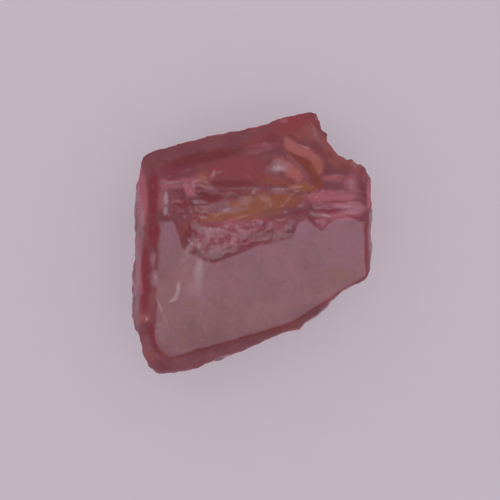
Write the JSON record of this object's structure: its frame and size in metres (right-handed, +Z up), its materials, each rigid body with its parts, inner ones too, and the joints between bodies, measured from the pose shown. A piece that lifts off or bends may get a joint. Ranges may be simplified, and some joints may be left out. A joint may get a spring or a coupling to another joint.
{
  "type": "rough spinel",
  "caption": "Rough red spinel: a broken tabular crystal with one flat face, stepped ledges and shell-shaped fractures, lying on its flat back.",
  "frame": {"origin": "on the flat resting face, under the centre of the stone's bounding box", "axes": "+Z up, out of the large flat crystal face; +Y along the stone, towards its pointed end; +X across it"},
  "size_m": [0.0058, 0.0063, 0.0032],
  "materials": {
    "spinel": "etched and broken crystal, semi-gloss and slightly see-through"
  },
  "bodies": {
    "root": {"spinel_crystal": "spinel"}
  },
  "joints": []
}
